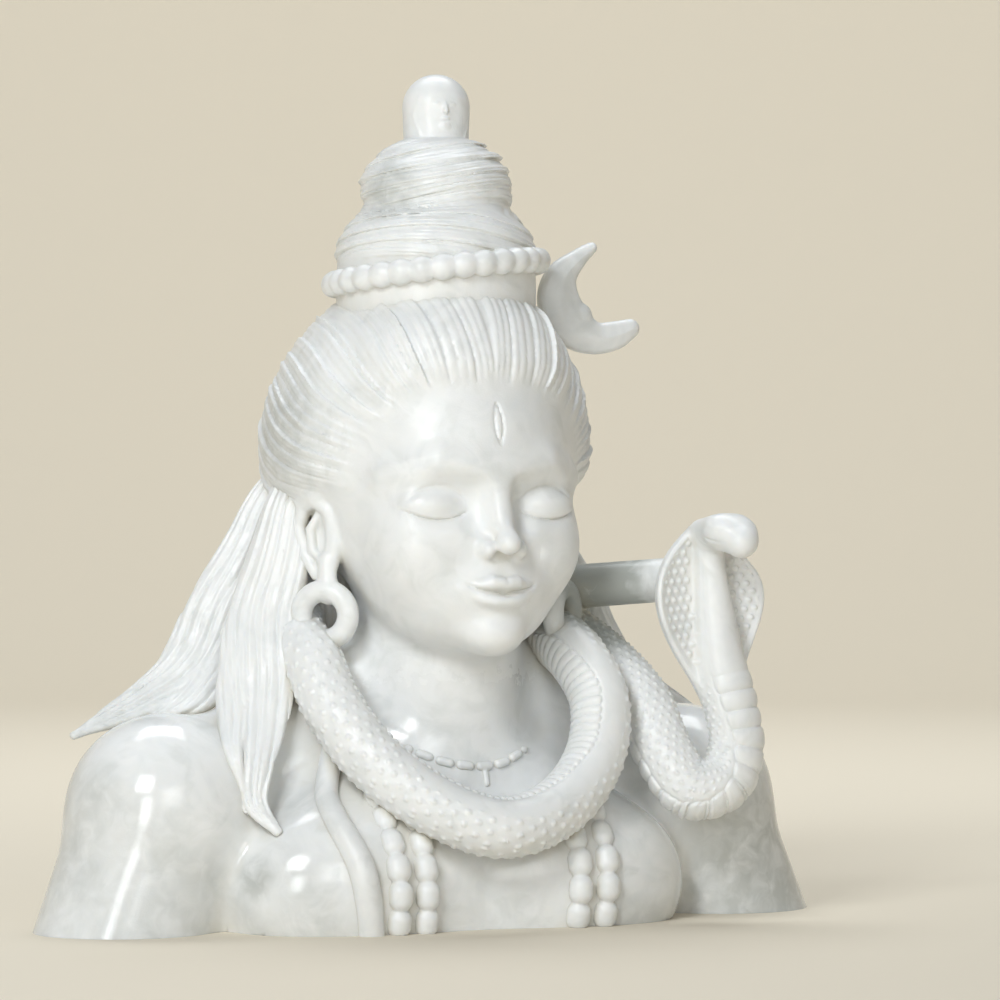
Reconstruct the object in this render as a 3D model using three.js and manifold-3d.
// A bust of Shiva, carved from one block of white marble: a meditating head with a wound
// topknot, a crescent, loose hair, bead strings and a cobra that circles the neck.
// It is modelled in millimetres, +Z up, facing -Y, with +X at the figure's own left hand.
// The origin is the middle of the flat underside.

import * as THREE from "three";
import { mergeVertices } from "three/addons/utils/BufferGeometryUtils.js";
import Module from "manifold-3d";

// The sizes that a carver sets first.
const HEIGHT = 580; // flat underside to the top of the small head on the topknot
const RING_BEAD = 15; // beads round the topknot
const MALA_BEAD = 17.5; // beads of the long strings on the chest
const CHOKER_BEAD = 12; // beads of the short string on the throat
const SNAKE_GIRTH = 40; // the cobra's body, across
const TAIL_GIRTH = 17; // its tail, where the bust's cut meets it
const EARRING_WIDTH = 50; // each hoop, across
const EARRING_GIRTH = 14; // the hoop's own thickness
const STRUT_GIRTH = 31; // the bar of marble that steadies the cobra's hood
const CRESCENT_DEPTH = 18; // the moon, front to back

// The figure itself follows the canon of the old carvers, who measure all in finger widths:
// twelve from the hairline to the chin, and 37.4 for the whole bust. Every place on the figure
// is given in fingers.
const FINGER = HEIGHT / 37.4;
const at = (x, y, z) => new THREE.Vector3(x, y, z).multiplyScalar(FINGER);
const BOTH_SIDES = [-1, 1];

const marble = new THREE.MeshStandardMaterial({ color: 0xe4e3de, roughness: 0.22, metalness: 0 });

// Distance fields. Each says how far a point is outside a form, and soft() runs two forms together
// as a carver does, over the given width.
function ellipsoid(point, centre, radii) {
  const p = point.clone().sub(centre);
  const scaled = p.clone().divide(radii);
  const near = scaled.length();
  return (near * (near - 1)) / Math.max(scaled.divide(radii).length(), 1e-9);
}

function limb(point, from, to, fromRadius, toRadius) {
  const along = to.clone().sub(from);
  const share = point.clone().sub(from).dot(along) / along.lengthSq();
  const t = THREE.MathUtils.clamp(share, 0, 1);
  const axis = from.clone().addScaledVector(along, t);
  return axis.distanceTo(point) - THREE.MathUtils.lerp(fromRadius, toRadius, t);
}

function soft(a, b, width) {
  const h = Math.max(width - Math.abs(a - b), 0) / width;
  return Math.min(a, b) - (h * h * width) / 4;
}

const carved = (a, b, width) => -soft(-a, b, width);

// The point across the figure's middle, so that one form serves both sides.
const mirrored = (point) => new THREE.Vector3(Math.abs(point.x), point.y, point.z);

// Neck, shoulders, chest and upper arms.
const neckFoot = at(0, 0.7, 7.5);
const neckTop = at(0, -0.4, 15.5);
const shoulder = at(12.5, 0.9, 5.0);
const elbow = at(16.0, 0.3, -4);

function chestField(point) {
  const side = mirrored(point);
  let d = ellipsoid(point, at(0, 0.8, -0.6), at(10.9, 6.1, 10.4));
  d = soft(d, ellipsoid(side, at(5.2, -2.6, 1.7), at(5.4, 3.6, 4.1)), 1.6 * FINGER);
  d = soft(d, limb(side, at(0.8, 1.6, 12), at(10.6, 1.4, 6.3), 2.6 * FINGER, 2.3 * FINGER), 1.8 * FINGER);
  return soft(d, limb(point, neckFoot, neckTop, 3.9 * FINGER, 3.6 * FINGER), 1.2 * FINGER);
}

function armField(point) {
  const side = mirrored(point);
  const upperArm = limb(side, shoulder, elbow, 3.8 * FINGER, 3.7 * FINGER);
  return soft(ellipsoid(side, shoulder, at(4.3, 4.1, 4.3)), upperArm, 0.8 * FINGER);
}

const torsoField = (point) => soft(chestField(point), armField(point), 1.2 * FINGER);

// The head without its features. The hair, the lids, the nose and the lips are laid on it.
function headField(point) {
  const side = mirrored(point);
  let d = ellipsoid(point, at(0, 0.4, 20.4), at(5.9, 7.2, 6.9));
  d = soft(d, ellipsoid(point, at(0, -1.9, 17.6), at(5.3, 5.2, 6.0)), 1.0 * FINGER);
  d = soft(d, ellipsoid(point, at(0, -3.4, 14.4), at(4.2, 3.7, 2.8)), 1.2 * FINGER);
  d = soft(d, ellipsoid(point, at(0, -5.9, 12.9), at(1.5, 1.3, 1.15)), 1.1 * FINGER);
  d = soft(d, ellipsoid(side, at(2.9, -4.7, 16.0), at(2.2, 2.1, 2.3)), 1.0 * FINGER);
  return carved(d, ellipsoid(side, at(2.35, -7.5, 18.9), at(1.75, 1.0, 0.85)), 0.7 * FINGER);
}

// A ball's mesh drawn in onto a field, along straight lines towards its centre.
function wrapped(ball, centre, field) {
  const mesh = closed(ball);
  const place = mesh.getAttribute("position");
  for (let i = 0; i < place.count; i++) {
    const start = new THREE.Vector3().fromBufferAttribute(place, i);
    const ray = start.clone().normalize();
    const point = start.add(centre);
    for (let step = 0; step < 60; step++) point.addScaledVector(ray, -0.8 * field(point));
    place.setXYZ(i, ...point);
  }
  return mesh;
}

// A geometry with its seams joined, so that it is one closed surface.
function closed(geometry) {
  const bare = geometry.clone();
  bare.deleteAttribute("normal");
  bare.deleteAttribute("uv");
  const mesh = mergeVertices(bare, 1e-4);
  const corners = [...mesh.getIndex().array];
  const faces = [];
  for (let i = 0; i < corners.length; i += 3) {
    const [a, b, c] = corners.slice(i, i + 3);
    if (a !== b && b !== c && c !== a) faces.push(a, b, c);
  }
  mesh.setIndex(faces);
  return mesh;
}

// Moves a ball's meridians towards the front, where the finer carving is.
function crowded(ball, amount) {
  const place = ball.getAttribute("position");
  for (let i = 0; i < place.count; i++) {
    const turn = Math.atan2(place.getX(i), -place.getY(i));
    const out = Math.hypot(place.getX(i), place.getY(i));
    const moved = turn - amount * Math.sin(turn);
    place.setXYZ(i, out * Math.sin(moved), -out * Math.cos(moved), place.getZ(i));
  }
  return ball;
}

const upright = (geometry) => geometry.rotateX(Math.PI / 2);
const ball = (round, high) => upright(new THREE.SphereGeometry(1, round, high));
const egg = (round, high, radii, centre) => closed(ball(round, high).scale(...radii).translate(...centre));

function torso() {
  const forms = [wrapped(ball(22, 13).scale(...at(20, 12, 16)), at(0, 0.6, 2.5), chestField)];
  for (const side of BOTH_SIDES) {
    forms.push(wrapped(ball(12, 11).scale(...at(6, 6, 10)), at(side * 13.2, 0.8, 3), armField));
  }
  return forms;
}

// The face is calm and keeps to the canon: the hairline, the brow, the nose and the chin lie
// four fingers apart, and an eye is two fingers long, with two between the eyes.
function face() {
  const head = crowded(ball(22, 16), 0.4).scale(...at(9, 9, 12));
  const forms = [wrapped(head, at(0, -1.2, 17.8), headField)];
  const bridge = path(
    at(0, -6.0, 19.9),
    at(0, -6.7, 18.6),
    at(0, -7.45, 17.1),
    at(0, -7.7, 16.45),
    at(0, -7.1, 16.0),
  );
  const noseWidth = (t) => FINGER * (0.3 + 0.5 * t);
  forms.push(rod(bridge, 5, 6, noseWidth, half(1.1 * FINGER), () => ACROSS));
  const lipLine = (corner, full) => path(...[[-1, corner], [-1, full], [1, full], [1, corner]].map(
    ([side, [x, y, z]]) => at(side * x, y, z),
  ));
  const upperLip = lipLine([1.6, -6.1, 14.5], [0.6, -7.15, 14.75]);
  const lowerLip = lipLine([1.3, -6.2, 14.3], [0.5, -7.0, 14.05]);
  const fullness = (t) => FINGER * (0.12 + 0.22 * Math.sin(Math.PI * t));
  for (const lip of [upperLip, lowerLip]) forms.push(rod(lip, 5, 4, fullness, fullness, () => UP));
  for (const side of BOTH_SIDES) {
    forms.push(egg(8, 6, at(0.5, 0.65, 0.42), at(side * 0.6, -6.9, 16.3)));
    forms.push(egg(10, 6, at(1.35, 1.05, 0.8), at(side * 2.3, -5.65, 18.5)));
    const brow = path(at(side * 0.7, -6.75, 19.5), at(side * 2.4, -6.55, 20.1), at(side * 4.3, -5.1, 19.5));
    forms.push(rod(brow, 5, 4, half(0.5 * FINGER), half(0.5 * FINGER), () => UP));
  }
  return forms;
}

// The combed hair is a cap of ridges that run like meridians from a point high on the back of
// the head. Each ends at the hairline, where the cap goes under the skin.
const capCentre = at(0, 1.1, 20.9);
const capRadii = at(7.3, 7.9, 7.25);
const CAP_RIDGES = 22;
const CAP_ROWS = 5;
const CAP_TILT = 0.72; // radians that the strands' meeting point lies behind the crown
const RIDGE_RISE = 0.2; // a ridge's height over its groove, in fingers

// How far a point lies on the hair's side of the hairline, in fingers.
function hairSide(point) {
  const p = point.clone().divideScalar(FINGER);
  const brow = Math.abs(p.x) / 5.6;
  const front = 23.4 - 1.0 * brow * brow - 4.2 * brow ** 6;
  const aboveBrow = p.z - front;
  const behindTemple = p.y + 2.4 + 0.16 * (p.z - 18);
  const aboveEar = p.z - 17.6 + 0.35 * (p.y - 1);
  return Math.min(Math.max(aboveBrow, behindTemple), aboveEar + Math.max(0, p.y - 2));
}

function hairCap() {
  const tilt = new THREE.Matrix4().makeRotationX(-CAP_TILT);
  const place = (turn, drop, rise) => {
    const level = new THREE.Vector3(Math.cos(turn), Math.sin(turn), 0).multiplyScalar(Math.sin(drop));
    const out = level.setZ(Math.cos(drop)).applyMatrix4(tilt);
    return out.clone().multiply(capRadii).add(capCentre).addScaledVector(out, rise * FINGER);
  };
  const rings = [];
  const around = 2 * CAP_RIDGES;
  for (let j = 0; j < around; j++) {
    const turn = (2 * Math.PI * j) / around;
    let edge = 0.3;
    while (edge < 2.6 && hairSide(place(turn, edge, 0)) > 0) edge += 0.02;
    const ridge = j % 2 ? RIDGE_RISE : 0;
    rings.push([]);
    for (let i = 1; i <= CAP_ROWS; i++) {
      const fade = Math.min(1, 1.6 * Math.sin((Math.PI * i) / (CAP_ROWS + 0.7)));
      rings[j].push(place(turn, (edge * i) / CAP_ROWS, ridge * fade));
    }
    rings[j].push(place(turn, edge + 0.03, -1.6));
  }
  const top = place(0, 0, 0);
  const inside = capCentre;
  const corners = [];
  for (let j = 0; j < around; j++) {
    const a = rings[j];
    const b = rings[(j + 1) % around];
    corners.push(top, a[0], b[0]);
    for (let i = 0; i < CAP_ROWS; i++) corners.push(a[i], a[i + 1], b[i + 1], a[i], b[i + 1], b[i]);
    corners.push(inside, b[CAP_ROWS], a[CAP_ROWS]);
  }
  return mergeVertices(new THREE.BufferGeometry().setFromPoints(corners), 1e-4);
}

// A rod of elliptical section along a curve. Its half width and half depth follow the two
// functions. `across`, where it is given, is the direction of the width at each share of the
// length, and `groove` is how deep every second edge is cut, as a share of the depth.
function rod(curve, steps, sides, width, depth, across, loop = false, groove = 0) {
  const rings = [];
  const frames = across ? null : curve.computeFrenetFrames(steps);
  for (let i = 0; i <= steps; i++) {
    const t = i / steps;
    const centre = curve.getPointAt(t);
    const along = curve.getTangentAt(t);
    const side = across ? across(t).clone() : frames.normals[i].clone();
    side.addScaledVector(along, -side.dot(along)).normalize();
    const out = new THREE.Vector3().crossVectors(side, along).normalize();
    rings.push([]);
    for (let j = 0; j < sides; j++) {
      const turn = (2 * Math.PI * j) / sides;
      const point = centre.clone().addScaledVector(side, width(t) * Math.cos(turn));
      const cut = j % 2 ? 1 - groove : 1;
      rings[i].push(point.addScaledVector(out, -depth(t) * cut * Math.sin(turn)));
    }
  }
  if (loop) rings[steps] = rings[0];
  const corners = [];
  const quad = (a, b, c, d) => corners.push(a, b, c, a, c, d);
  for (let i = 0; i < steps; i++) {
    for (let j = 0; j < sides; j++) {
      const k = (j + 1) % sides;
      quad(rings[i][j], rings[i][k], rings[i + 1][k], rings[i + 1][j]);
    }
  }
  for (let j = 1; j < sides - 1 && !loop; j++) {
    corners.push(rings[0][0], rings[0][j + 1], rings[0][j]);
    corners.push(rings[steps][0], rings[steps][j], rings[steps][j + 1]);
  }
  return mergeVertices(new THREE.BufferGeometry().setFromPoints(corners), 1e-4);
}

const path = (...points) => new THREE.CatmullRomCurve3(points, false, "centripetal");
const half = (girth) => () => girth / 2;
const ACROSS = new THREE.Vector3(1, 0, 0);
const UP = new THREE.Vector3(0, 0, 1);

// How far the torso's skin is from a point, and the point moved onto it, `rise` fingers proud.
function laid(point, rise) {
  const p = point.clone();
  for (let step = 0; step < 12; step++) {
    const d = torsoField(p);
    const slope = new THREE.Vector3(
      torsoField(p.clone().add(at(0.05, 0, 0))) - d,
      torsoField(p.clone().add(at(0, 0.05, 0))) - d,
      torsoField(p.clone().add(at(0, 0, 0.05))) - d,
    ).normalize();
    p.addScaledVector(slope, rise * FINGER - d);
  }
  return p;
}

// The topknot is wound hair: two tiers over a plain band. Each pair of points is the lower and
// the upper edge of one turn of hair.
function topknot() {
  const turns = [
    [5.1, 26.0], [4.3, 27.0],
    [4.55, 29.6], [4.25, 30.2],
    [4.05, 30.3], [3.7, 30.8],
    [3.5, 30.85], [3.1, 31.4],
    [3.05, 31.6], [3.35, 32.2],
    [3.35, 32.6], [3.15, 33.1],
    [2.95, 33.2], [2.6, 33.65],
    [2.35, 33.75], [1.6, 34.2],
  ];
  const profile = [[0, 25.6], ...turns, [0, 34.6]];
  const outline = profile.map(([r, z]) => new THREE.Vector2(r * FINGER, z * FINGER));
  return closed(upright(new THREE.LatheGeometry(outline, 18)));
}

function smallHead() {
  return egg(10, 8, at(1.5, 1.5, 1.75), at(0, 0, 35.65));
}

// A string of beads, as a rod that narrows between one bead and the next.
function beads(curve, girth, across, loop = false) {
  const count = Math.round(curve.getLength() / girth);
  const swell = (t) => (girth / 2) * (Math.round(2 * t * count) % 2 ? 1.15 : 0.55);
  return rod(curve, 2 * count, 4, swell, swell, across, loop);
}

// The ring of beads round the topknot leans down towards the figure's right.
function ringBeads() {
  const radius = 4.5;
  const places = [];
  for (let i = 0; i < 12; i++) {
    const x = radius * Math.cos((Math.PI * i) / 6);
    const y = radius * Math.sin((Math.PI * i) / 6);
    places.push(at(x, y, 28.5 + 0.17 * x + 0.056 * y));
  }
  return beads(new THREE.CatmullRomCurve3(places, true), RING_BEAD, () => UP, true);
}

// Four strings hang from under the cobra to the cut, two on each side of the breastbone.
function malas() {
  const strings = [];
  for (const [x, top] of [[3.7, 4.6], [5.0, 4.8]]) {
    for (const side of BOTH_SIDES) {
      const line = path(
        laid(at(side * (x + 0.25), -6, top), 0.25),
        laid(at(side * x, -6, 0.5 * top), 0.25),
        laid(at(side * (x - 0.1), -6, -0.6), 0.25),
      );
      strings.push(beads(line, MALA_BEAD, () => ACROSS));
    }
  }
  return strings;
}

function choker() {
  const line = path(
    laid(at(-3.3, -4.6, 7.8), 0.1),
    laid(at(-1.8, -5.4, 7.0), 0.1),
    laid(at(0, -6, 6.75), 0.1),
    laid(at(1.8, -5.4, 7.0), 0.1),
    laid(at(3.3, -4.6, 7.8), 0.1),
  );
  return beads(line, CHOKER_BEAD, () => UP);
}

// The moon stands on the hair at the figure's left of the topknot, with its horns up and out.
// It is the bar between two circles, with a knob in the crook and a root of uncut stone below.
function crescent() {
  const outer = 2.7; // the outer circle's radius
  const inner = 2.1; // the inner circle's
  const apart = 1.5; // from one circle's middle to the other's
  const reach = 2.05; // radians from the broad middle to a horn's tip
  const lean = Math.PI + 0.66; // the way that the broad middle faces, in radians
  const middle = at(7.35, 0, 27.5);
  const steps = 12;
  const turnAt = (t) => reach * (2 * t - 1);
  const outAt = (t) => new THREE.Vector3(Math.cos(lean + turnAt(t)), 0, Math.sin(lean + turnAt(t)));
  const crook = (t) => {
    const beside = apart * Math.sin(turnAt(t));
    return Math.sqrt(inner ** 2 - beside ** 2) - apart * Math.cos(turnAt(t));
  };
  const places = [...Array(steps + 1).keys()].map((i) => {
    const t = i / steps;
    return middle.clone().addScaledVector(outAt(t), ((outer + crook(t)) / 2) * FINGER);
  });
  const breadth = (t) => FINGER * Math.max(0.28, (outer - crook(t)) / 2);
  const depth = (t) => CRESCENT_DEPTH * (0.3 + 0.2 * Math.sin(Math.PI * t));
  const moon = rod(path(...places), steps, 7, breadth, depth, outAt);
  const knob = egg(8, 6, at(0.8, 0.55, 0.9), at(7.35, 0, 26.9));
  const root = egg(8, 6, at(1.3, 0.5, 1.0), at(5.3, 0, 26.2));
  return [moon, knob, root];
}

// A long ear with its lobe drawn down through a thick hoop.
function ear(side) {
  const rim = path(
    at(side * 5.3, -1.0, 17.4),
    at(side * 5.7, -0.9, 18.3),
    at(side * 6.1, 0.0, 18.4),
    at(side * 6.3, 0.5, 17.4),
    at(side * 6.1, 0.2, 16.1),
    at(side * 5.7, -0.5, 15.2),
    at(side * 5.5, -0.9, 14.6),
  );
  const shell = ball(8, 6).scale(...at(0.55, 1.05, 1.7)).rotateZ(side * 0.5);
  const lobe = ball(8, 6).scale(...at(0.42, 0.62, 1.2)).rotateZ(side * 0.5);
  const hoop = new THREE.TorusGeometry((EARRING_WIDTH - EARRING_GIRTH) / 2, EARRING_GIRTH / 2, 6, 12);
  hoop.rotateX(Math.PI / 2).rotateZ(side * 0.73);
  return [
    rod(rim, 7, 5, half(0.6 * FINGER), half(0.75 * FINGER), () => ACROSS),
    closed(shell.translate(...at(side * 5.45, -0.35, 16.9))),
    closed(lobe.translate(...at(side * 5.5, -0.8, 14.9))),
    closed(hoop.translate(...at(side * 5.7, -0.9, 13.6))),
  ];
}

// The cobra lies round the neck. Its head end comes forward over the figure's left shoulder,
// dips, and rises into the open hood. Its tail hangs down the chest on the other side.
function cobra() {
  const loop = path(
    at(-4.6, 4.4, 13.2),
    at(-6.2, 1.6, 12.9),
    at(-6.35, -0.9, 11.7),
    at(-6.1, -2.6, 9.7),
    at(-4.9, -4.3, 7.4),
    at(-2.6, -6.0, 5.4),
    at(0, -6.9, 4.5),
    at(3.1, -6.2, 5.3),
    at(5.4, -5.0, 7.4),
    at(6.1, -4.0, 9.7),
    at(5.9, -2.3, 11.5),
    at(5.7, 0.6, 12.6),
    at(4.6, 4.0, 13.1),
  );
  const rise = path(
    at(4.6, 3.4, 13.7),
    at(6.4, 1.8, 13.0),
    at(7.7, -0.3, 11.7),
    at(8.9, -2.7, 9.6),
    at(9.6, -4.5, 7.2),
    at(10.3, -5.3, 5.9),
    at(11.6, -5.5, 6.1),
    at(12.1, -5.5, 7.5),
    at(11.95, -5.3, 9.4),
    at(11.6, -5.0, 11.4),
    at(11.3, -4.8, 13.4),
    at(11.0, -4.7, 15.3),
    at(10.9, -5.0, 16.7),
    at(11.0, -5.8, 17.25),
    at(11.2, -6.7, 16.95),
    at(11.35, -7.4, 16.4),
  );
  const girthAt = (t) => SNAKE_GIRTH * (0.5 - 0.17 * THREE.MathUtils.smoothstep(t, 0.55, 0.8));
  const hood = path(
    at(12.0, -5.2, 8.8),
    at(11.6, -4.8, 11.0),
    at(11.3, -4.55, 13.2),
    at(11.1, -4.45, 15.4),
    at(11.1, -4.75, 17.1),
  );
  const spread = (t) => FINGER * (0.6 + 2.2 * Math.sin(Math.PI * (0.03 + 0.95 * t) ** 1.15));
  const tail = path(
    laid(at(-7.6, -3.6, 8.2), 0.1),
    laid(at(-6.9, -5, 5.2), 0.1),
    laid(at(-6.1, -5.5, 2.6), 0.1),
    laid(at(-5.5, -6, -0.6), 0.1),
  );
  return [
    rod(loop, 17, 7, half(SNAKE_GIRTH), half(SNAKE_GIRTH)),
    rod(rise, 22, 7, girthAt, girthAt),
    rod(hood, 8, 8, spread, half(0.85 * FINGER), () => ACROSS),
    rod(tail, 8, 6, half(TAIL_GIRTH), half(TAIL_GIRTH), () => ACROSS),
  ];
}

function strut() {
  const from = at(5.6, 2.4, 14.5);
  const to = at(11.0, -4.4, 15.1);
  return rod(path(from, to), 1, 12, half(STRUT_GIRTH), half(STRUT_GIRTH), () => UP);
}

// A lock of hair is combed into ridges and thins to a point. Its width is level with the
// body's skin under it.
const LOCK_GROOVE = 0.35;

function lock(width, depth, ...points) {
  const line = path(...points);
  const taper = (t) => FINGER * Math.max(0.1, Math.sin(Math.PI * (0.3 + 0.66 * t)));
  const across = (t) => {
    const here = line.getPointAt(t);
    const out = laid(here, 1).sub(laid(here, 0));
    return out.cross(line.getTangentAt(t));
  };
  return rod(line, 5, 6, (t) => width * taper(t), (t) => depth * taper(t), across, false, LOCK_GROOVE);
}

// A broad fall of hair from the nape out over one shoulder.
function veil(side) {
  const line = path(
    at(side * 5.9, 2.6, 19.0),
    at(side * 7.1, 2.8, 15.8),
    at(side * 8.6, 3.1, 12.4),
    at(side * 10.9, 3.4, 10.1),
    at(side * 13.4, 3.6, 9.2),
    at(side * 15.8, 3.6, 8.3),
  );
  const width = (t) => FINGER * (0.25 + 1.75 * Math.sin(Math.PI * (0.16 + 0.82 * t)));
  const depth = (t) => 0.25 * width(t) + 0.4 * FINGER * (1 - t);
  const across = () => new THREE.Vector3(side * 0.75, -0.2, 0.6);
  return rod(line, 6, 12, width, depth, across, false, LOCK_GROOVE);
}

// The combed hair is gathered behind and wound up into the topknot. The loose hair leaves the
// head at the nape. It falls down the back in a mass, spreads over both shoulders, and one lock
// comes forward over the figure's right shoulder.
function looseHair() {
  const locks = [egg(16, 10, at(6.6, 3.4, 7.2), at(0, 5.0, 15.2))];
  const gathered = path(at(0, 8.6, 22.8), at(0, 7.4, 25.4), at(0, 5.2, 27.6), at(0, 2.6, 29.2));
  const bulk = (t) => FINGER * (0.4 + 1.3 * Math.sin(0.5 * Math.PI * t));
  locks.push(rod(gathered, 4, 6, bulk, (t) => 0.8 * bulk(t), () => ACROSS));
  for (const side of BOTH_SIDES) {
    locks.push(veil(side));
    for (const t of [0, 1]) {
      const root = at(side * (5.8 - 0.6 * t), 3.6 + 0.8 * t, 18.8);
      const nape = at(side * (7.0 - 0.6 * t), 4.4 + 0.8 * t, 14.4);
      const over = laid(at(side * (9.0 - 1.2 * t), 5.2 + 0.8 * t, 9.2 - 1.2 * t), 0.6);
      const tip = laid(at(side * (11.4 - 2.4 * t), 6, 5.2 - 2.4 * t), 0.1);
      locks.push(lock(1.5, 0.9, root, nape, over, tip));
    }
  }
  for (const x of [-5.4, -2.7, 0, 2.7, 5.4]) {
    const over = laid(at(1.1 * x, 8, 6.5), 0.6);
    const tip = laid(at(0.9 * x, 8, 1.0 + 0.06 * x * x), 0.1);
    locks.push(lock(1.7, 0.9, at(0.75 * x, 7.4, 18), at(x, 7.5, 12), over, tip));
  }
  for (const [x, low] of [[-8.7, 6.4], [-7.7, 4.9]]) {
    const over = laid(at(x, -1.4, 9.8), 0.45);
    const tip = laid(at(-9.6, -4.2, low), 0.1);
    locks.push(lock(0.95, 0.6, at(-6.5, 1.2, 19), at(x + 0.9, 0.8, 14), over, tip));
  }
  return locks;
}

// manifold-3d joins the forms into one stone and cuts it flat.
const wasm = await Module();
wasm.setup();

function solid(geometry) {
  return new wasm.Manifold(
    new wasm.Mesh({
      numProp: 3,
      vertProperties: Float32Array.from(geometry.getAttribute("position").array),
      triVerts: Uint32Array.from(geometry.getIndex().array),
    }),
  );
}

function meshed(manifold, name) {
  const { vertProperties, triVerts } = manifold.getMesh();
  const geometry = new THREE.BufferGeometry();
  geometry.setAttribute("position", new THREE.BufferAttribute(vertProperties, 3));
  geometry.setIndex(new THREE.BufferAttribute(triVerts, 1));
  geometry.computeVertexNormals();
  const mesh = new THREE.Mesh(geometry, marble);
  mesh.name = name;
  return mesh;
}

const forms = [
  ...torso(),
  ...face(),
  hairCap(),
  topknot(),
  smallHead(),
  ringBeads(),
  ...crescent(),
  ...ear(-1),
  ...ear(1),
  ...looseHair(),
  ...cobra(),
  strut(),
  ...malas(),
  choker(),
];
let bust = solid(forms[0]);
for (const form of forms.slice(1)) bust = bust.add(solid(form));

const below = new THREE.BoxGeometry(60 * FINGER, 60 * FINGER, 20 * FINGER).translate(0, 0, -10 * FINGER);
bust = bust.subtract(solid(closed(below)));

const part = new THREE.Group();
const figure = meshed(bust, "shiva_bust");
figure.geometry.computeBoundingBox();
const middle = figure.geometry.boundingBox.getCenter(new THREE.Vector3());
figure.geometry.translate(-middle.x, -middle.y, 0);
part.add(figure);

export default part;
